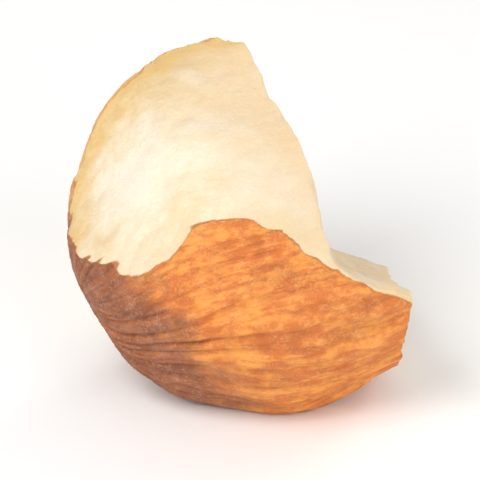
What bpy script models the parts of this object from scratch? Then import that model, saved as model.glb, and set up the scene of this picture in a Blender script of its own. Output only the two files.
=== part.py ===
"""One piece of chopped almond: the blunt end of a kernel that a knife cut on several sides.

The brown skin stays on the rounded belly, with its lengthwise ridges and broad dents.
The pale flesh shows on the sloping top chop and its two softly bent shoulders, in the notch
beside them, on the end and the back, and in small chips along the edges.
The piece rests on a small flat spot under its weight.

Lengths are in millimetres in the constants, and the model is built in metres.
Places on the piece are measured from the centre of the kernel's widest section.
The front of the piece faces -Y, and the origin is under the middle of its box.
"""
import math

import bmesh
import bpy
from mathutils import Matrix, Vector, noise

MM = 0.001

# The kernel: two half eggs that meet at its widest section
BLUNT_REACH = 5.2
TIP_REACH = 14.0
HALF_WIDTH = 5.05
HALF_THICKNESS = 4.0
KERNEL_CENTRE = Vector((0.72, 0.13, 4.42))
KERNEL_HEADING = math.radians(9.9)
KERNEL_PITCH = math.radians(21.6)
KERNEL_ROLL = math.radians(58.2)

# Ridges of the skin, which run from the blunt end to the tip: their size, the steepness of
# their sides, their mean height as a share of the depth, and the spread where they are full
RIDGE_SPACING = 0.62
RIDGE_LENGTH = 5.6
RIDGE_DEPTH = 0.13
RIDGE_STEEPNESS = 2.6
RIDGE_MEAN = 0.55
RIDGE_FULL_SPREAD = 0.45

# Wander of the ridges round the kernel: the most in radians, and its waves along and around
WANDER = 0.22
WANDER_LENGTH = 5.0
WANDER_WAVES = 1.3
WANDER_START = Vector((0.0, 0.0, 7.0))

# Broad dents of the skin
DENT_DEPTH = 0.22
DENT_SPACING = 2.4
DENT_START = Vector((4.0, 2.0, 0.0))

# Rings of places on the skin: distance between rings, and most between places round a ring
RING_STEP = 0.34
PLACE_STEP = 0.2
FEWEST_PLACES = 33

# Chops: heading and pitch of the outward normal, and distance from the kernel's centre
TOP_CHOP = (math.radians(-103.4), math.radians(76.6), 3.00)
LEFT_SHOULDER = (math.radians(-150.0), math.radians(37.0), 3.77)
RIGHT_SHOULDER = (math.radians(-40.0), math.radians(47.0), 3.22)
END_CHOP = (math.radians(5.6), math.radians(-6.0), 3.37)
BACK_CHOP = (math.radians(114.0), math.radians(-20.0), 3.08)
NOTCH_WALL = (math.radians(4.8), math.radians(2.9), 1.45)
NOTCH_LEAN = (math.radians(20.5), math.radians(18.0), 1.52)
NOTCH_FLOOR = (math.radians(52.0), math.radians(58.0), -0.60)
SHOULDER_SOFTNESS = 0.4
NOTCH_SOFTNESS = 0.35
CHOP_REACH = 11.0
CHOP_CELL = 0.4

# Unevenness of a chopped face, as broad swells and fine grain: depth, spacing and start
SWELL = (0.34, 3.0, Vector((3.1, 0.7, 5.3)))
GRAIN = (0.12, 0.9, Vector((9.2, 4.4, 1.8)))

# Chips out of the edges: place, direction it faces, half lengths (across, up, deep), depth
CHIPS = (
    (Vector((-0.60, 3.35, 3.45)), Vector((0.10, 0.60, 0.77)), Vector((1.3, 1.0, 0.8)), 0.30),
    (Vector((3.00, 2.05, -2.40)), Vector((0.75, 0.60, -0.10)), Vector((1.0, 1.3, 0.8)), 0.45),
)
CHIP_ROUGHNESS = 0.14
CHIP_WAVES = 2.2
CHIP_SUBDIVISIONS = 4

# Colour and roughness of the skin and the flesh
SKIN_COLOUR = (0.62, 0.20, 0.05, 1.0)
SKIN_ROUGHNESS = 0.62
FLESH_COLOUR = (0.88, 0.77, 0.56, 1.0)
FLESH_ROUGHNESS = 0.48


def clear_scene():
    """Remove the objects that a new Blender scene starts with."""
    for old in list(bpy.data.objects):
        bpy.data.objects.remove(old)


def direction(heading, pitch):
    """Unit vector at a heading about Z and a pitch above the horizon."""
    level = math.cos(pitch)
    return Vector((level * math.cos(heading), level * math.sin(heading), math.sin(pitch)))


def kernel_frame():
    """Rotation whose columns are the kernel's length, width and thickness directions."""
    length = direction(KERNEL_HEADING, KERNEL_PITCH)
    level = Vector((-math.sin(KERNEL_HEADING), math.cos(KERNEL_HEADING), 0.0))
    upright = length.cross(level)
    width = level * math.cos(KERNEL_ROLL) + upright * math.sin(KERNEL_ROLL)
    thickness = length.cross(width)
    return Matrix((length, width, thickness)).transposed()


def material(name, colour, roughness):
    """A Principled material of one colour."""
    made = bpy.data.materials.new(name)
    made.use_nodes = True
    shader = made.node_tree.nodes["Principled BSDF"]
    shader.inputs["Base Color"].default_value = colour
    shader.inputs["Roughness"].default_value = roughness
    shader.inputs["Metallic"].default_value = 0.0
    return made


def new_object(name, shape, collection, surface):
    """An object from a bmesh in millimetres round the kernel's centre."""
    bmesh.ops.triangulate(shape, faces=shape.faces)
    bmesh.ops.scale(shape, vec=Vector((MM, MM, MM)), verts=shape.verts)
    bmesh.ops.recalc_face_normals(shape, faces=shape.faces)
    mesh = bpy.data.meshes.new(name)
    shape.to_mesh(mesh)
    shape.free()
    mesh.materials.append(surface)
    made = bpy.data.objects.new(name, mesh)
    made.location = KERNEL_CENTRE * MM
    collection.objects.link(made)
    return made


def ridge_height(along, around):
    """Relief of the skin at a place along the kernel and a unit direction around it."""
    wave = Vector((along / WANDER_LENGTH, around.x * WANDER_WAVES, around.y * WANDER_WAVES))
    turned = Matrix.Rotation(WANDER * noise.noise(wave + WANDER_START), 2) @ around
    ring = turned * (HALF_WIDTH / RIDGE_SPACING)
    groove = abs(noise.noise(Vector((ring.x, ring.y, along / RIDGE_LENGTH))))
    return min(groove * RIDGE_STEEPNESS, 1.0) - RIDGE_MEAN


def skin_place(turn, around):
    """A place on the skin: turn goes from 0 at the blunt end to pi at the tip."""
    reach = BLUNT_REACH if turn < math.pi / 2.0 else TIP_REACH
    spread = math.sin(turn)
    sphere = Vector((-math.cos(turn), around.x * spread, around.y * spread))
    smooth = Vector((sphere.x * reach, sphere.y * HALF_WIDTH, sphere.z * HALF_THICKNESS))
    outward = Vector((sphere.x / reach, sphere.y / HALF_WIDTH, sphere.z / HALF_THICKNESS))
    relief = RIDGE_DEPTH * min(1.0, spread / RIDGE_FULL_SPREAD) * ridge_height(smooth.x, around)
    relief += DENT_DEPTH * noise.noise(smooth / DENT_SPACING + DENT_START)
    return smooth + outward.normalized() * relief


def ring_turns():
    """Turn of each ring of places, about evenly spaced along the kernel."""
    turns = []
    turn = RING_STEP / HALF_WIDTH
    while turn < math.pi:
        turns.append(turn)
        reach = BLUNT_REACH if turn < math.pi / 2.0 else TIP_REACH
        turn += RING_STEP / math.hypot(reach * math.sin(turn), HALF_WIDTH * math.cos(turn))
    return turns


def places_in_ring(turn):
    """Number of places round a ring, doubled until they are close enough together."""
    count = FEWEST_PLACES
    while count * PLACE_STEP < 2.0 * math.pi * HALF_WIDTH * math.sin(turn):
        count *= 2
    return count


def join_rings(shape, one, other):
    """Faces between two rings, of which one may have twice the places of the other."""
    coarse, fine = sorted((one, other), key=len)
    ratio = len(fine) // len(coarse)
    for number, vertex in enumerate(coarse):
        edge = [fine[(number * ratio + step) % len(fine)] for step in range(ratio + 1)]
        following = coarse[(number + 1) % len(coarse)]
        shape.faces.new([vertex] + edge + [following])


def kernel_shape():
    """The whole kernel as a rounded egg with ridges, turned as it lies."""
    shape = bmesh.new()
    rings = []
    for turn in ring_turns():
        count = places_in_ring(turn)
        angles = [2.0 * math.pi * number / count for number in range(count)]
        places = [skin_place(turn, Vector((math.cos(angle), math.sin(angle)))) for angle in angles]
        rings.append([shape.verts.new(place) for place in places])
    for ring, following in zip(rings, rings[1:]):
        join_rings(shape, ring, following)
    for end in (rings[0], rings[-1]):
        shape.faces.new(end)
    bmesh.ops.rotate(shape, matrix=kernel_frame(), verts=shape.verts)
    return shape


def unevenness(place):
    """Height of a chopped face above its plane, at a place in millimetres."""
    waves = (SWELL, GRAIN)
    return sum(depth * noise.noise(place / spacing + start) for depth, spacing, start in waves)


def cutting_sheet():
    """A square grid of cells, wide enough to pass right through the kernel."""
    shape = bmesh.new()
    cells = round(2.0 * CHOP_REACH / CHOP_CELL)
    bmesh.ops.create_grid(shape, x_segments=cells, y_segments=cells, size=CHOP_REACH)
    return shape


def close_sheet(shape, thickness):
    """Turn an open sheet into a closed block by extruding it along one vector."""
    grown = bmesh.ops.extrude_face_region(shape, geom=list(shape.faces), use_keep_orig=True)
    raised = [item for item in grown["geom"] if isinstance(item, bmesh.types.BMVert)]
    bmesh.ops.translate(shape, verts=raised, vec=thickness)


def ramp(distance, softness):
    """Distance where it is positive and nothing where it isn't, rounded between them."""
    return 0.5 * (distance + math.hypot(distance, softness))


def bent_back(place, normal, second_chop, softness):
    """A place on one chopped face, drawn back to where a second chop takes over."""
    second = direction(second_chop[0], second_chop[1])
    beyond = ramp(second.dot(place) - second_chop[2], softness)
    return place - normal * (beyond / second.dot(normal))


def chop_shape(chop, shoulders=()):
    """A block with one uneven face, which covers all that lies beyond a chop."""
    normal = direction(chop[0], chop[1])
    across = normal.orthogonal().normalized()
    along = normal.cross(across)
    shape = cutting_sheet()
    for vertex in shape.verts:
        flat = across * vertex.co.x + along * vertex.co.y + normal * chop[2]
        for shoulder in shoulders:
            flat = bent_back(flat, normal, shoulder, SHOULDER_SOFTNESS)
        vertex.co = flat + normal * unevenness(flat)
    close_sheet(shape, normal * CHOP_REACH)
    return shape


def notch_shape():
    """A bent block that takes out the corner between an upright wall and a sloping floor."""
    wall = direction(NOTCH_WALL[0], NOTCH_WALL[1])
    floor = direction(NOTCH_FLOOR[0], NOTCH_FLOOR[1])
    fold = wall.cross(floor).normalized()
    corner = Matrix((wall, floor, fold)).inverted() @ Vector((NOTCH_WALL[2], NOTCH_FLOOR[2], 0.0))
    up_wall = fold.cross(wall)
    down_floor = floor.cross(fold)
    outward = (wall + floor).normalized()
    shape = cutting_sheet()
    for vertex in shape.verts:
        rise = ramp(-vertex.co.x, NOTCH_SOFTNESS)
        run = ramp(vertex.co.x, NOTCH_SOFTNESS)
        flat = corner + up_wall * rise + down_floor * run + fold * vertex.co.y
        if vertex.co.x < 0.0:
            flat = bent_back(flat, wall, NOTCH_LEAN, NOTCH_SOFTNESS)
        vertex.co = flat + outward * unevenness(flat)
    close_sheet(shape, outward * CHOP_REACH)
    return shape


def chip_shape(chip):
    """A rough pebble that scoops a shallow chip out of an edge."""
    place, facing, half_lengths, depth = chip
    outward = facing.normalized()
    across = Vector((0.0, 0.0, 1.0)).cross(outward).normalized()
    frame = Matrix((across, outward.cross(across), outward)).transposed()
    middle = place + outward * (half_lengths.z - depth)
    shape = bmesh.new()
    bmesh.ops.create_icosphere(shape, subdivisions=CHIP_SUBDIVISIONS, radius=1.0)
    for vertex in shape.verts:
        rough = 1.0 + CHIP_ROUGHNESS * noise.noise(vertex.co * CHIP_WAVES + place)
        vertex.co = middle + frame @ (vertex.co * half_lengths * rough)
    return shape


def below_ground_shape():
    """A block under the surface that the piece lies on, whose top leaves the resting spot."""
    shape = bmesh.new()
    bmesh.ops.create_cube(shape, size=2.0 * CHOP_REACH)
    middle = Vector((0.0, 0.0, -CHOP_REACH - KERNEL_CENTRE.z))
    bmesh.ops.translate(shape, vec=middle, verts=shape.verts)
    return shape


def cut(target, cutter):
    """Take a cutter's volume out of the target and show the cutter as a wire only."""
    cutter.hide_render = True
    cutter.display_type = "WIRE"
    step = target.modifiers.new(cutter.name, "BOOLEAN")
    step.operation = "DIFFERENCE"
    step.solver = "EXACT"
    step.material_mode = "TRANSFER"
    step.object = cutter


def new_collection(name):
    """A collection in the scene."""
    made = bpy.data.collections.new(name)
    bpy.context.scene.collection.children.link(made)
    return made


def build():
    """The almond piece with its cutters."""
    clear_scene()
    pieces = new_collection("chopped_almond")
    cutters = new_collection("cutters")
    skin = material("almond_skin", SKIN_COLOUR, SKIN_ROUGHNESS)
    flesh = material("almond_flesh", FLESH_COLOUR, FLESH_ROUGHNESS)

    piece = new_object("almond_piece", kernel_shape(), pieces, skin)
    piece.data.shade_smooth()
    cuts = [
        ("top_chop", chop_shape(TOP_CHOP, (LEFT_SHOULDER, RIGHT_SHOULDER))),
        ("end_chop", chop_shape(END_CHOP)),
        ("back_chop", chop_shape(BACK_CHOP)),
        ("notch", notch_shape()),
    ]
    cuts += [(f"chip_{number}", chip_shape(chip)) for number, chip in enumerate(CHIPS, 1)]
    for name, shape in cuts:
        cut(piece, new_object(name, shape, cutters, flesh))
    cut(piece, new_object("resting_spot", below_ground_shape(), cutters, skin))


build()
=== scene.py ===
"""Looks of the chopped almond piece: ridged skin, waxy cut flesh, a pale floor and soft light.

The piece is remade from the part's own faces at a finer grain, and its skin is laid on the
same kernel shape that the part is cut from. Lengths in the constants are in millimetres.
Places on the piece are measured from the centre of the kernel's widest section.
"""
import math

import bmesh
import bpy
import numpy as np
from mathutils import Matrix, Vector, noise
from mathutils.bvhtree import BVHTree
from mathutils.kdtree import KDTree


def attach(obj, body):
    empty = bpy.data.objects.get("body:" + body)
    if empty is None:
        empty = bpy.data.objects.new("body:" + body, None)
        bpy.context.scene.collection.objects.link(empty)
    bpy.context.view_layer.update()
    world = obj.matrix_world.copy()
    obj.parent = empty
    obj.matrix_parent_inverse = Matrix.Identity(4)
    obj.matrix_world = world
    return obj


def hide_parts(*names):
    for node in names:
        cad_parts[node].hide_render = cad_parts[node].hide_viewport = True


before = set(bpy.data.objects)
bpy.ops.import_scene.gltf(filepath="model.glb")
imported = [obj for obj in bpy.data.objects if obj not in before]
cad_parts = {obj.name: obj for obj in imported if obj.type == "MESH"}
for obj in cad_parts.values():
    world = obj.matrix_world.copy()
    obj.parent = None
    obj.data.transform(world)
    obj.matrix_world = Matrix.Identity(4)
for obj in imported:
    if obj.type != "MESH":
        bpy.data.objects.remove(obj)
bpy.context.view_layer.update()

MM = 0.001
NODE = "almond_piece"

# The kernel: two half eggs that meet at its widest section
BLUNT_REACH = 5.2
TIP_REACH = 14.0
HALF_WIDTH = 5.05
HALF_THICKNESS = 4.0
KERNEL_CENTRE = Vector((0.72, 0.13, 4.42))
KERNEL_HEADING = math.radians(9.9)
KERNEL_PITCH = math.radians(21.6)
KERNEL_ROLL = math.radians(58.2)

# Ridges of the skin, their wander round the kernel, and its broad dents
RIDGE_SPACING = 0.62
RIDGE_LENGTH = 5.6
RIDGE_DEPTH = 0.13
RIDGE_STEEPNESS = 2.6
RIDGE_MEAN = 0.55
RIDGE_FULL_SPREAD = 0.45
WANDER = 0.22
WANDER_LENGTH = 5.0
WANDER_WAVES = 1.3
WANDER_START = Vector((0.0, 0.0, 7.0))
DENT_DEPTH = 0.22
DENT_SPACING = 2.4
DENT_START = Vector((4.0, 2.0, 0.0))

# The finer mesh: its cell, and the reach within which two corners of the part are the same
VOXEL = 0.060
SAME_CORNER = 0.0005

# Rounds of smoothing: of all places, of the chopped faces, of the skin's border, and last
FIRST_SMOOTHING = 4
FACE_SMOOTHING = 30
BORDER_CALMING = 14
LAST_SMOOTHING = 2

# Edges of the chopped faces, and how far from them the smoothing starts and takes to be full
EDGE_ANGLE = math.radians(32.0)
EDGE_SAMPLE = 0.05
CALM_START = 0.06
CALM_WIDTH = 0.2

# How near the kernel's surface a corner of the skin lies, and how well a face looks outward
SKIN_REACH = 0.07
SKIN_FACING = 0.3

# The most that a place of the skin is moved onto the kernel's surface, and the least spread
DEEPEST_LIFT = 0.2
LEAST_SPREAD = 1e-6

# Fine relief of the skin: depth and spacing, and breaks of a wrinkle in a ridge's length
WRINKLES = (0.060, 0.28)
WRINKLE_BREAKS = 4.0
SCURF = (0.012, 0.12)

# Fine relief of the flesh: depth and spacing, mean of the ripples, and start of the pits
RIPPLES = (0.080, 0.75)
RIPPLE_MEAN = 0.25
CRUMBS = (0.036, 0.26)
PIT_START = 0.1
GRAIN = (0.012, 0.12)
CRUMBLE = (0.11, 0.45)
CRUMBLE_REACH = 0.22


def direction(heading, pitch):
    """Unit vector at a heading about Z and a pitch above the horizon."""
    level = math.cos(pitch)
    return Vector((level * math.cos(heading), level * math.sin(heading), math.sin(pitch)))


def kernel_frame():
    """Rotation whose columns are the kernel's length, width and thickness directions."""
    length = direction(KERNEL_HEADING, KERNEL_PITCH)
    level = Vector((-math.sin(KERNEL_HEADING), math.cos(KERNEL_HEADING), 0.0))
    upright = length.cross(level)
    width = level * math.cos(KERNEL_ROLL) + upright * math.sin(KERNEL_ROLL)
    thickness = length.cross(width)
    return Matrix((length, width, thickness)).transposed()


# From the kernel's own directions to those of the piece, and back
TURN = kernel_frame()
TURN_BACK = TURN.transposed()


def ridge_flow(along, around):
    """Place on the skin in ridge spacings round the kernel and ridge lengths along it."""
    wave = Vector((along / WANDER_LENGTH, around.x * WANDER_WAVES, around.y * WANDER_WAVES))
    turned = Matrix.Rotation(WANDER * noise.noise(wave + WANDER_START), 2) @ around
    ring = turned * (HALF_WIDTH / RIDGE_SPACING)
    return Vector((ring.x, ring.y, along / RIDGE_LENGTH))


class SkinPlace:
    """The place of the skin above a point, with its ridge height and the point's depth."""

    def __init__(self, point):
        place = TURN_BACK @ point
        reach = BLUNT_REACH if place.x < 0.0 else TIP_REACH
        sphere = Vector((place.x / reach, place.y / HALF_WIDTH, place.z / HALF_THICKNESS))
        sphere.normalize()
        smooth = Vector((sphere.x * reach, sphere.y * HALF_WIDTH, sphere.z * HALF_THICKNESS))
        outward = Vector((sphere.x / reach, sphere.y / HALF_WIDTH, sphere.z / HALF_THICKNESS))
        outward.normalize()
        spread = math.hypot(sphere.y, sphere.z)
        around = Vector((sphere.y, sphere.z)) / max(spread, LEAST_SPREAD)
        self.flow = ridge_flow(smooth.x, around)
        groove = abs(noise.noise(self.flow))
        self.ridge = min(groove * RIDGE_STEEPNESS, 1.0)
        self.full = min(1.0, spread / RIDGE_FULL_SPREAD)
        relief = RIDGE_DEPTH * self.full * (self.ridge - RIDGE_MEAN)
        relief += DENT_DEPTH * noise.noise(smooth / DENT_SPACING + DENT_START)
        self.depth = (smooth + outward * relief - place).dot(outward)
        self.outward = TURN @ outward


def coordinates(mesh):
    """A mesh's places as an array."""
    flat = np.empty(len(mesh.vertices) * 3)
    mesh.vertices.foreach_get("co", flat)
    return flat.reshape(-1, 3)


def own_faces():
    """The part's faces in millimetres round the kernel's centre, with shared corners."""
    shape = bmesh.new()
    shape.from_mesh(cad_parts[NODE].data)
    bmesh.ops.scale(shape, vec=Vector((1.0, 1.0, 1.0)) / MM, verts=shape.verts)
    bmesh.ops.translate(shape, vec=-KERNEL_CENTRE, verts=shape.verts)
    bmesh.ops.remove_doubles(shape, verts=shape.verts, dist=SAME_CORNER)
    bmesh.ops.triangulate(shape, faces=shape.faces)
    shape.normal_update()
    return shape


def is_skin(face):
    """Whether a face of the part lies on the kernel's surface and looks outward."""
    places = [SkinPlace(corner.co) for corner in face.verts]
    near = all(abs(place.depth) < SKIN_REACH for place in places)
    return near and face.normal.dot(places[0].outward) > SKIN_FACING


def chop_edges(shape, skin_faces):
    """Places along the edges that a chop left, close together."""
    places = []
    for edge in shape.edges:
        if len(edge.link_faces) != 2:
            continue
        skins = [skin_faces[face.index] for face in edge.link_faces]
        if all(skins) or (not any(skins) and edge.calc_face_angle(0.0) < EDGE_ANGLE):
            continue
        start, end = (vertex.co for vertex in edge.verts)
        steps = max(1, math.ceil((end - start).length / EDGE_SAMPLE))
        places += [start.lerp(end, step / steps) for step in range(steps + 1)]
    return places


def fine_mesh(shape):
    """The part's faces as one even, finer mesh."""
    rough = bpy.data.meshes.new("rough")
    shape.to_mesh(rough)
    holder = bpy.data.objects.new("rough", rough)
    bpy.context.scene.collection.objects.link(holder)
    remesh = holder.modifiers.new("grain", "REMESH")
    remesh.mode = "VOXEL"
    remesh.voxel_size = VOXEL
    graph = bpy.context.evaluated_depsgraph_get()
    fine = bpy.data.meshes.new_from_object(holder.evaluated_get(graph))
    bpy.data.objects.remove(holder)
    return fine


class Smoother:
    """Moves each place of a mesh towards the middle of its neighbours."""

    def __init__(self, mesh):
        pairs = np.empty(len(mesh.edges) * 2, dtype=np.int64)
        mesh.edges.foreach_get("vertices", pairs)
        pairs = pairs.reshape(-1, 2)
        self.own = np.concatenate([pairs[:, 0], pairs[:, 1]])
        self.other = np.concatenate([pairs[:, 1], pairs[:, 0]])
        self.size = len(mesh.vertices)
        self.count = np.bincount(self.own, minlength=self.size)

    def mean(self, values):
        """Mean of the neighbours' values."""
        total = np.bincount(self.own, weights=values[self.other], minlength=self.size)
        return total / self.count

    def smooth(self, places, weight, rounds):
        """Places after some rounds, where weight says how much each may move."""
        for _ in range(rounds):
            middle = np.column_stack([self.mean(places[:, axis]) for axis in range(3)])
            places = places + (middle - places) * (0.5 * weight)[:, None]
        return places


def nearness(places, edges):
    """Distance from each place to the nearest edge place."""
    tree = KDTree(len(edges))
    for number, place in enumerate(edges):
        tree.insert(place, number)
    tree.balance()
    return np.array([tree.find(place)[2] for place in places])


def step_up(values, start, width):
    """Nothing below start, one above start plus width, and smooth between them."""
    share = np.clip((values - start) / width, 0.0, 1.0)
    return share * share * (3.0 - 2.0 * share)


def normals_of(mesh, places):
    """Vertex normals of the mesh at new places."""
    mesh.vertices.foreach_set("co", places.ravel())
    mesh.update()
    flat = np.empty(len(mesh.vertices) * 3)
    mesh.vertices.foreach_get("normal", flat)
    return flat.reshape(-1, 3)


def waves(place, size):
    """Noise of a depth and spacing at a place."""
    depth, spacing = size
    return depth * noise.noise(place / spacing)


def wrinkle_height(skin):
    """Height of the fine wrinkles between the ridges, from nothing in their valleys to one."""
    ring = RIDGE_SPACING / WRINKLES[1]
    finer = Vector((skin.flow.x * ring, skin.flow.y * ring, skin.flow.z * WRINKLE_BREAKS))
    return min(1.0, abs(noise.noise(finer)) * RIDGE_STEEPNESS)


def skin_relief(place, skin):
    """Fine wrinkles along the ridges, and scurf over them."""
    wrinkle = WRINKLES[0] * skin.full * (wrinkle_height(skin) - RIDGE_MEAN)
    return wrinkle + waves(place, SCURF)


def flesh_relief(place, edge_distance):
    """Soft ripples, crumbs and grain of a chopped face, crumbling along its edges."""
    ripple = RIPPLES[0] * (abs(noise.noise(place / RIPPLES[1])) - RIPPLE_MEAN)
    pit = CRUMBS[0] * min(0.0, noise.noise(place / CRUMBS[1]) + PIT_START)
    near = max(0.0, 1.0 - edge_distance / CRUMBLE_REACH)
    crumble = -CRUMBLE[0] * near * max(0.0, noise.noise(place / CRUMBLE[1]))
    return ripple + pit + waves(place, GRAIN) + crumble


def fine_relief(places, skins, on_skin, edge_distance):
    """Fine relief of every place along its normal."""
    relief = []
    for place, skin, is_on_skin, near in zip(places, skins, on_skin, edge_distance):
        if is_on_skin:
            relief.append(skin_relief(Vector(place), skin))
        else:
            relief.append(flesh_relief(Vector(place), near))
    return np.array(relief)


def store(mesh, name, values, kind="FLOAT"):
    """Values kept on the mesh, for its material."""
    kept = mesh.attributes.new(name, kind, "POINT")
    kept.data.foreach_set("vector" if kind == "FLOAT_VECTOR" else "value", np.ravel(values))


def skin_shares(places, tree, skin_faces, smoother):
    """One where the nearest face of the part is skin and nothing elsewhere, calmly bordered."""
    on_skin = np.array([float(skin_faces[tree.find_nearest(place)[2]]) for place in places])
    for _ in range(BORDER_CALMING):
        on_skin = smoother.mean(on_skin)
    return np.round(on_skin)


def smoothed(smoother, places, on_skin, edge_distance):
    """Places smoothed a little everywhere, and well inside the chopped faces."""
    places = smoother.smooth(places, np.ones(len(places)), FIRST_SMOOTHING)
    inner = step_up(edge_distance, CALM_START, CALM_WIDTH) * (1.0 - on_skin)
    return smoother.smooth(places, inner, FACE_SMOOTHING)


def keep_looks(mesh, skins, soft_skin, depth):
    """Keep on the mesh what its material has to know of the skin."""
    store(mesh, "skin", soft_skin)
    store(mesh, "depth", depth)
    store(mesh, "ridge", np.array([skin.ridge for skin in skins]))
    store(mesh, "wrinkle", np.array([wrinkle_height(skin) for skin in skins]))
    store(mesh, "flow", np.array([skin.flow for skin in skins]), "FLOAT_VECTOR")


def almond_mesh():
    """The piece with its skin's ridges, its chopped faces and their fine relief."""
    shape = own_faces()
    skin_faces = [is_skin(face) for face in shape.faces]
    edges = chop_edges(shape, skin_faces)
    tree = BVHTree.FromBMesh(shape)
    mesh = fine_mesh(shape)
    shape.free()

    smoother = Smoother(mesh)
    places = coordinates(mesh)
    on_skin = skin_shares(places, tree, skin_faces, smoother)
    edge_distance = nearness(places, edges)
    places = smoothed(smoother, places, on_skin, edge_distance)

    skins = [SkinPlace(Vector(place)) for place in places]
    depth = np.array([skin.depth for skin in skins])
    lift = np.clip(depth, -DEEPEST_LIFT, DEEPEST_LIFT) * on_skin
    places = places + np.array([skin.outward for skin in skins]) * lift[:, None]
    soft_skin = smoother.mean(on_skin)
    border = 1.0 - np.abs(2.0 * soft_skin - 1.0)
    places = smoother.smooth(places, border, LAST_SMOOTHING)

    fine = fine_relief(places, skins, on_skin, edge_distance)
    fine = 0.5 * (fine + smoother.mean(fine))
    places = places + normals_of(mesh, places) * fine[:, None]
    places[:, 2] = np.maximum(places[:, 2], -KERNEL_CENTRE.z)
    mesh.vertices.foreach_set("co", places.ravel())
    keep_looks(mesh, skins, soft_skin, depth - lift)
    mesh.transform(Matrix.Scale(MM, 4) @ Matrix.Translation(KERNEL_CENTRE))
    mesh.shade_smooth()
    return mesh


# Sides of the kernel where the looks change: the side, and how far out a change starts and ends
# Darker skin towards the lower left: partly the skin's own brown, partly painted shade on the side
# turned down
DARK_AND_SHADED_SIDE = (direction(math.radians(-157.0), math.radians(-32.0)), 3.0, 4.2)
# The pale side: paler skin, and in the flesh a stronger straw that is painted shadow
PALE_SIDE = (direction(math.radians(160.0), math.radians(35.0)), 2.7, 3.6)
# Painted shade on the flesh: tan towards the back right
TAN_SHADE_SIDE = (direction(math.radians(35.0), math.radians(20.0)), -2.2, 1.0)

# Noises: waves to a millimetre (or along the flow of the ridges), detail and roughness
SIDE_NOISE = (0.9, 4.0, 0.55)
CLOUDS = (1.3, 5.0, 0.68)
STREAKS = (3.0, 6.0, 0.68)
STRAW_NOISE = (1.3, 3.0, 0.55)
RIM_NOISE = (4.0, 2.0, 0.55)
GLOSS_NOISE = (4.0, 3.0, 0.55)
FINEST_GRAIN = (14.0, 4.0, 0.55)
COARSER_GRAIN = (5.0, 2.0, 0.55)
VEINS = (5.0, 4.0, 0.6)

# Patches: a noise, and its values where a patch starts and where it is full
DARK_MOTTLES = ((1.9, 5.0, 0.65), (0.36, 0.64))
RUSTY_VEINS = ((3.1, 5.0, 0.6), (0.38, 0.66))
# Breaks in the painted shade of the grooves
GROOVE_SHADE_BREAKS = ((1.2, 4.0, 0.6), (0.36, 0.60))
DUST_GRAINS = ((15.0, 3.0, 0.6), (0.46, 0.66))
DUSTY_AREAS = ((2.2, 4.0, 0.6), (0.35, 0.62))
PALE_CLOUDS = ((0.5, 3.0, 0.55), (0.36, 0.62))
CRUMB_SPECKS = ((9.0, 3.0, 0.6), (0.48, 0.70))

# How far noise moves a border, in millimetres: of a side, of the straw colour and of the rim
SIDE_WANDER = 2.4
STRAW_WANDER = 0.9
RIM_WANDER = 0.05

# Values between which something goes from none to full, or from full to none
STREAK_LIMITS = (0.86, 1.14)
SKIN_LIMITS = (0.35, 0.65)
GROOVE_LIMITS = (0.0, 0.6)
WRINKLE_LIMITS = (0.0, 0.5)
STRAW_DEPTHS = (0.55, 1.45)
RIM_DEPTHS = (0.035, 0.075)
GLOSS_LIMITS = (0.3, 0.7)

# How much of a colour shows where there is most of it
# Painted shade in the grooves of the sunlit skin
SUNLIT_GROOVE_SHADE = 0.60
SUNLIT_DUST = 0.30
DARK_VEINS = 0.45
# Painted shade in the grooves of the dark skin
DARK_GROOVE_SHADE = 0.55
DARK_DUST = 0.60
PALE_TAN = 0.75
GROOVE_SHADE = 0.7
CRUMB_COVER = 0.30
# Painted tan shade on the flesh towards the back right
TAN_SHADE_COVER = 0.62
# Straw under the skin: the flesh's own yellower rim, stronger on the pale side as painted shadow
STRAW_COVER = 0.90
STRAW_ELSEWHERE = 0.4

# Colours of the skin
AMBER = (0.86, 0.330, 0.064, 1.0)
RUST = (0.64, 0.172, 0.034, 1.0)
# Painted shade in the grooves of the skin
GROOVE_SHADE_COLOUR = (0.36, 0.092, 0.024, 1.0)
DUST = (0.90, 0.50, 0.23, 1.0)
TAN = (0.84, 0.50, 0.20, 1.0)
UMBER = (0.22, 0.066, 0.026, 1.0)
COCOA = (0.34, 0.135, 0.070, 1.0)
ASH = (0.54, 0.31, 0.22, 1.0)
CUT_SKIN = (0.50, 0.20, 0.06, 1.0)

# Colours of the flesh
CREAM = (0.85, 0.735, 0.53, 1.0)
IVORY = (0.87, 0.80, 0.66, 1.0)
CRUMB = (0.91, 0.86, 0.73, 1.0)
# Painted tan shade for the flesh
TAN_SHADE = (0.74, 0.50, 0.24, 1.0)
# Straw of the flesh under the skin, partly its own colour and partly painted shadow
STRAW = (0.74, 0.49, 0.18, 1.0)

# Scales of the skin's flow round the kernel and along it, which shorten its streaks
FLOW_STRETCH = (1.0, 1.0, 2.5)

# Roughness where the gloss noise is low and high, and share of scattered light in flesh and skin
SKIN_ROUGHNESS = (0.50, 0.72)
FLESH_ROUGHNESS = (0.38, 0.58)
SCATTER_SHARES = (0.35, 0.06)
SCATTER_COLOURS = (1.0, 0.62, 0.32)
SCATTER_DEPTH = 0.7
SPECULAR = 0.42

# Finest grain: how strongly it shows, its depth, and how much the skin's veins add
GRAIN_STRENGTH = 0.8
GRAIN_DEPTH = 0.035
VEIN_GRAIN = 1.5


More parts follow.
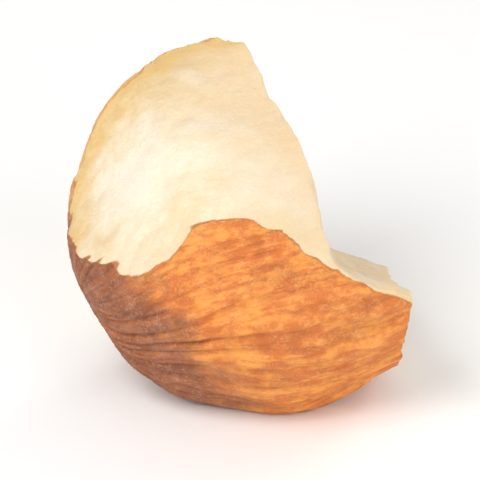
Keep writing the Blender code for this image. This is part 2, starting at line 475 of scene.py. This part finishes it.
class Nodes:
    """A material's nodes, made and joined by short calls."""

    def __init__(self, name):
        self.material = bpy.data.materials.new(name)
        self.material.use_nodes = True
        self.tree = self.material.node_tree
        self.shader = self.tree.nodes["Principled BSDF"]

    def join(self, source, target):
        """Link a socket or set a value."""
        if isinstance(source, bpy.types.NodeSocket):
            self.tree.links.new(source, target)
        else:
            target.default_value = source

    def attribute(self, name, output="Fac"):
        """A value kept on the mesh."""
        node = self.tree.nodes.new("ShaderNodeAttribute")
        node.attribute_name = name
        return node.outputs[output]

    def stretched(self, vector, scale):
        """A vector scaled along each of its axes."""
        node = self.tree.nodes.new("ShaderNodeMapping")
        node.inputs["Scale"].default_value = scale
        self.join(vector, node.inputs["Vector"])
        return node.outputs["Vector"]

    def place(self):
        """Place on the object, in millimetres."""
        node = self.tree.nodes.new("ShaderNodeTexCoord")
        return self.stretched(node.outputs["Object"], (1.0 / MM,) * 3)

    def noise(self, vector, kind):
        """Noise from 0 to 1, by its waves to a unit, its detail and its roughness."""
        node = self.tree.nodes.new("ShaderNodeTexNoise")
        for socket, number in zip(("Scale", "Detail", "Roughness"), kind):
            node.inputs[socket].default_value = number
        self.join(vector, node.inputs["Vector"])
        return node.outputs["Fac"]

    def spread(self, value, limits, start=0.0, end=1.0):
        """A value turned smoothly from its two limits into a start and an end."""
        node = self.tree.nodes.new("ShaderNodeMapRange")
        node.interpolation_type = "SMOOTHSTEP"
        settings = {"From Min": limits[0], "From Max": limits[1], "To Min": start, "To Max": end}
        for socket, number in settings.items():
            node.inputs[socket].default_value = number
        self.join(value, node.inputs["Value"])
        return node.outputs["Result"]

    def patches(self, vector, kind):
        """Patches of a noise, from 0 between them to 1 inside."""
        return self.spread(self.noise(vector, kind[0]), kind[1])

    def sum(self, first, second, operation="ADD"):
        """Two values added, or put together by another operation."""
        node = self.tree.nodes.new("ShaderNodeMath")
        node.operation = operation
        self.join(first, node.inputs[0])
        self.join(second, node.inputs[1])
        return node.outputs["Value"]

    def product(self, first, second):
        """Two values multiplied."""
        return self.sum(first, second, "MULTIPLY")

    def toward(self, place, side):
        """From 0 to 1 towards a side of the kernel, with a wandering border."""
        facing, start, end = side
        node = self.tree.nodes.new("ShaderNodeVectorMath")
        node.operation = "DOT_PRODUCT"
        self.join(place, node.inputs[0])
        node.inputs[1].default_value = facing
        wander = self.product(self.noise(place, SIDE_NOISE), SIDE_WANDER)
        shift = facing.dot(KERNEL_CENTRE) + SIDE_WANDER / 2.0
        return self.spread(self.sum(node.outputs["Value"], wander), (start + shift, end + shift))

    def mix(self, share, first, second):
        """Two colours mixed by a share of the second."""
        node = self.tree.nodes.new("ShaderNodeMix")
        node.data_type = "RGBA"
        self.join(share, node.inputs["Factor"])
        self.join(first, node.inputs["A"])
        self.join(second, node.inputs["B"])
        return node.outputs["Result"]

    def cover(self, under, over, share, most):
        """A colour with another over it, which covers the given most where its share is 1."""
        return self.mix(self.product(share, most), under, over)


def sunlit_skin(nodes, place, flow, groove_shade_share, dust):
    """Amber and rust streaks, with painted shade in the grooves and a pale dust."""
    streaks = nodes.sum(nodes.noise(place, CLOUDS), nodes.noise(flow, STREAKS))
    warm = nodes.mix(nodes.spread(streaks, STREAK_LIMITS), RUST, AMBER)
    # Painted shade in the grooves
    grooved = nodes.cover(warm, GROOVE_SHADE_COLOUR, groove_shade_share, SUNLIT_GROOVE_SHADE)
    return nodes.cover(grooved, DUST, dust, SUNLIT_DUST)


def dark_skin(nodes, place, flow, groove_shade_share, dust):
    """Brown mottles with rusty veins, painted shade in the grooves and a greyish dust; darker
    partly as painted shade of the lower side.
    """
    brown = nodes.mix(nodes.patches(place, DARK_MOTTLES), UMBER, COCOA)
    rusty = nodes.cover(brown, RUST, nodes.patches(flow, RUSTY_VEINS), DARK_VEINS)
    # Painted shade in the grooves
    grooved = nodes.cover(rusty, UMBER, groove_shade_share, DARK_GROOVE_SHADE)
    return nodes.cover(grooved, ASH, dust, DARK_DUST)


def valleys(nodes, place):
    """Painted shade in the valleys of the ridges and of the wrinkles, broken here and there."""
    groove = nodes.spread(nodes.attribute("ridge"), GROOVE_LIMITS, GROOVE_SHADE, 0.0)
    wrinkle = nodes.spread(nodes.attribute("wrinkle"), WRINKLE_LIMITS, GROOVE_SHADE, 0.0)
    return nodes.product(nodes.sum(groove, wrinkle, "MAXIMUM"), nodes.patches(place, GROOVE_SHADE_BREAKS))


def skin_colour(nodes, place, pale):
    """Orange brown skin with a dark blunt end, partly painted shade on its lower side, and a paler
    upper left side.
    """
    flow = nodes.stretched(nodes.attribute("flow", "Vector"), FLOW_STRETCH)
    # Painted shade in the grooves of the skin
    groove_shade_share = valleys(nodes, place)
    dust = nodes.product(nodes.patches(place, DUST_GRAINS), nodes.patches(place, DUSTY_AREAS))
    sunlit = sunlit_skin(nodes, place, flow, groove_shade_share, dust)
    paled = nodes.cover(sunlit, TAN, pale, PALE_TAN)
    dark = dark_skin(nodes, place, flow, groove_shade_share, dust)
    # Darker towards the lower left: partly the skin's own brown, partly painted shade
    return nodes.mix(nodes.toward(place, DARK_AND_SHADED_SIDE), paled, dark)


def flesh_colour(nodes, place, depth, pale):
    """Cream flesh with paler crumbs, painted tan shade towards the right, and straw under the skin:
    the flesh's own yellower rim, stronger on the pale side as painted shadow.
    """
    cream = nodes.mix(nodes.patches(place, PALE_CLOUDS), CREAM, IVORY)
    cream = nodes.cover(cream, CRUMB, nodes.patches(place, CRUMB_SPECKS), CRUMB_COVER)
    # Painted shade: the flesh turns tan towards the back right
    cream = nodes.cover(cream, TAN_SHADE, nodes.toward(place, TAN_SHADE_SIDE), TAN_SHADE_COVER)
    wander = nodes.product(nodes.noise(place, STRAW_NOISE), STRAW_WANDER)
    under_skin = nodes.spread(nodes.sum(depth, wander), STRAW_DEPTHS, 1.0, 0.0)
    # On the pale side the straw is stronger: painted shadow at the upper left edge
    share = nodes.sum(nodes.product(pale, 1.0 - STRAW_ELSEWHERE), STRAW_ELSEWHERE)
    return nodes.cover(cream, STRAW, nodes.product(under_skin, share), STRAW_COVER)


def piece_colour(nodes, place, skin):
    """Skin, flesh and the thin brown edge of the skin where a chop went through it."""
    depth = nodes.attribute("depth")
    wander = nodes.product(nodes.noise(place, RIM_NOISE), RIM_WANDER)
    rim = nodes.spread(nodes.sum(depth, wander), RIM_DEPTHS, 1.0, 0.0)
    # The pale side also strengthens the straw of the flesh, as painted shadow
    pale = nodes.toward(place, PALE_SIDE)
    flesh = nodes.mix(rim, flesh_colour(nodes, place, depth, pale), CUT_SKIN)
    return nodes.mix(skin, flesh, skin_colour(nodes, place, pale))


def piece_roughness(nodes, place, skin):
    """Roughness of the dull skin and of the waxier flesh."""
    gloss = nodes.noise(place, GLOSS_NOISE)
    skin_gloss = nodes.spread(gloss, GLOSS_LIMITS, *SKIN_ROUGHNESS)
    flesh_gloss = nodes.spread(gloss, GLOSS_LIMITS, *FLESH_ROUGHNESS)
    difference = nodes.sum(skin_gloss, flesh_gloss, "SUBTRACT")
    return nodes.sum(flesh_gloss, nodes.product(difference, skin))


def piece_grain(nodes, place, skin):
    """Normal of the finest grain, with the skin's veins in it."""
    grain = nodes.sum(nodes.noise(place, FINEST_GRAIN), nodes.noise(place, COARSER_GRAIN))
    veins = nodes.noise(nodes.attribute("flow", "Vector"), VEINS)
    grain = nodes.sum(grain, nodes.product(veins, nodes.product(skin, VEIN_GRAIN)))
    bump = nodes.tree.nodes.new("ShaderNodeBump")
    bump.inputs["Strength"].default_value = GRAIN_STRENGTH
    bump.inputs["Distance"].default_value = GRAIN_DEPTH * MM
    nodes.join(grain, bump.inputs["Height"])
    return bump.outputs["Normal"]


def almond_material():
    """One material for the skin and the flesh."""
    nodes = Nodes("almond")
    shader = nodes.shader.inputs
    place = nodes.place()
    skin = nodes.spread(nodes.attribute("skin"), SKIN_LIMITS)
    nodes.join(piece_colour(nodes, place, skin), shader["Base Color"])
    nodes.join(piece_roughness(nodes, place, skin), shader["Roughness"])
    nodes.join(piece_grain(nodes, place, skin), shader["Normal"])
    nodes.join(nodes.spread(skin, (0.0, 1.0), *SCATTER_SHARES), shader["Subsurface Weight"])
    shader["Subsurface Radius"].default_value = SCATTER_COLOURS
    shader["Subsurface Scale"].default_value = SCATTER_DEPTH * MM
    shader["Specular IOR Level"].default_value = SPECULAR
    return nodes.material


def make_almond():
    """The almond piece, which stands for the part's own node."""
    mesh = almond_mesh()
    piece = bpy.data.objects.new("chopped_almond", mesh)
    bpy.context.scene.collection.objects.link(piece)
    mesh.materials.append(almond_material())
    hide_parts(NODE)
    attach(piece, "root")


# The floor, in metres
FLOOR_HALF = 1.5
FLOOR_COLOUR = (0.95, 0.95, 0.95, 1.0)
FLOOR_ROUGHNESS = 0.7

# Lights: name, heading and pitch in degrees, distance and width in millimetres, watts, colour
LIGHTS = (
    ("key", -135.0, 50.0, 100.0, 57.0, 0.064, (1.0, 0.99, 0.97)),
    ("fill", -50.0, 28.0, 450.0, 350.0, 0.70, (1.0, 1.0, 1.0)),
    ("rim", 45.0, 28.0, 450.0, 250.0, 0.60, (1.0, 0.97, 0.93)),
)
SKY_COLOUR = (1.0, 1.0, 1.0, 1.0)
SKY_STRENGTH = 0.46

# The camera, in millimetres
TARGET = Vector((0.0, 0.0, 3.75))
VIEW_HEADING = math.radians(-90.0)
VIEW_ELEVATION = math.radians(32.0)
VIEW_DISTANCE = 300.0
VIEW_WIDTH = 12.6
SENSOR_WIDTH = 36.0


def make_floor():
    """A plain pale floor."""
    mesh = bpy.data.meshes.new("floor")
    signs = ((-1.0, -1.0), (1.0, -1.0), (1.0, 1.0), (-1.0, 1.0))
    corners = [(across * FLOOR_HALF, along * FLOOR_HALF, 0.0) for across, along in signs]
    mesh.from_pydata(corners, [], [(0, 1, 2, 3)])
    floor = bpy.data.objects.new("floor", mesh)
    bpy.context.scene.collection.objects.link(floor)
    nodes = Nodes("floor")
    nodes.shader.inputs["Base Color"].default_value = FLOOR_COLOUR
    nodes.shader.inputs["Roughness"].default_value = FLOOR_ROUGHNESS
    mesh.materials.append(nodes.material)


def aim(thing, place, target):
    """Put a lamp or a camera at a place and turn it to a target, both in millimetres."""
    thing.location = place * MM
    thing.rotation_euler = (target - place).to_track_quat("-Z", "Y").to_euler()


def make_light(name, heading, pitch, distance, width, power, colour):
    """A soft square light, turned to the piece."""
    lamp = bpy.data.lights.new(name, "AREA")
    lamp.size = width * MM
    lamp.energy = power
    lamp.color = colour
    light = bpy.data.objects.new(name, lamp)
    bpy.context.scene.collection.objects.link(light)
    aim(light, direction(math.radians(heading), math.radians(pitch)) * distance, TARGET)


def make_lights():
    """Soft studio light: a key from the upper left, a fill, a light from behind, a pale sky."""
    for light in LIGHTS:
        make_light(*light)
    world = bpy.data.worlds.new("studio")
    world.use_nodes = True
    sky = world.node_tree.nodes["Background"]
    sky.inputs["Color"].default_value = SKY_COLOUR
    sky.inputs["Strength"].default_value = SKY_STRENGTH
    bpy.context.scene.world = world
    bpy.context.scene.view_settings.view_transform = "Standard"


def make_camera():
    """A long lens at the photograph's height above the floor."""
    lens = bpy.data.cameras.new("camera")
    lens.sensor_width = SENSOR_WIDTH
    lens.lens = SENSOR_WIDTH * VIEW_DISTANCE / VIEW_WIDTH
    camera = bpy.data.objects.new("camera", lens)
    bpy.context.scene.collection.objects.link(camera)
    aim(camera, TARGET + direction(VIEW_HEADING, VIEW_ELEVATION) * VIEW_DISTANCE, TARGET)
    bpy.context.scene.camera = camera


make_almond()
make_floor()
make_lights()
make_camera()
